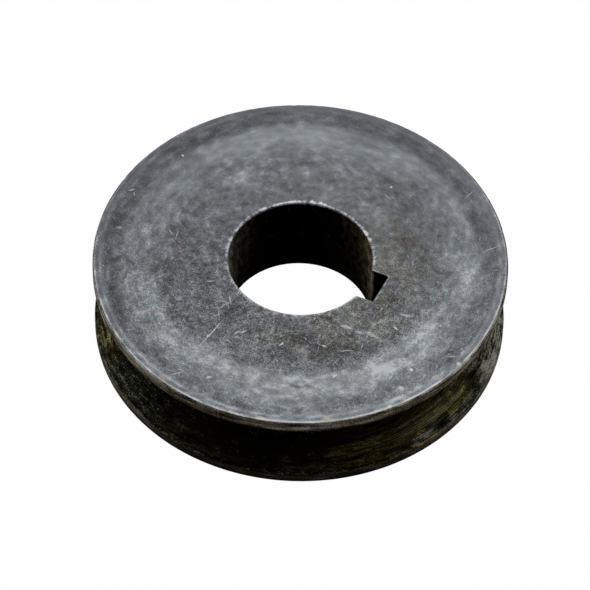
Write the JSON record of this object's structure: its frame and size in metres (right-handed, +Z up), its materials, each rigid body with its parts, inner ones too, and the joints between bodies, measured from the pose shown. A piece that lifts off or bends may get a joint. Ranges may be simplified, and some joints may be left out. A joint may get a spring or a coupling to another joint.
{
  "type": "drive pulley",
  "caption": "V-belt drive pulley turned from blackened steel, with a belt groove round its rim and a keyed through bore for a shaft.",
  "frame": {"origin": "centre of the bore, on the side face that the pulley lies on", "axes": "+Z up along the bore axis, +X from the axis towards the keyway"},
  "size_m": [0.073, 0.073, 0.0168],
  "materials": {
    "blackened_steel": "matte"
  },
  "bodies": {
    "root": {"pulley": "blackened_steel"}
  },
  "joints": []
}
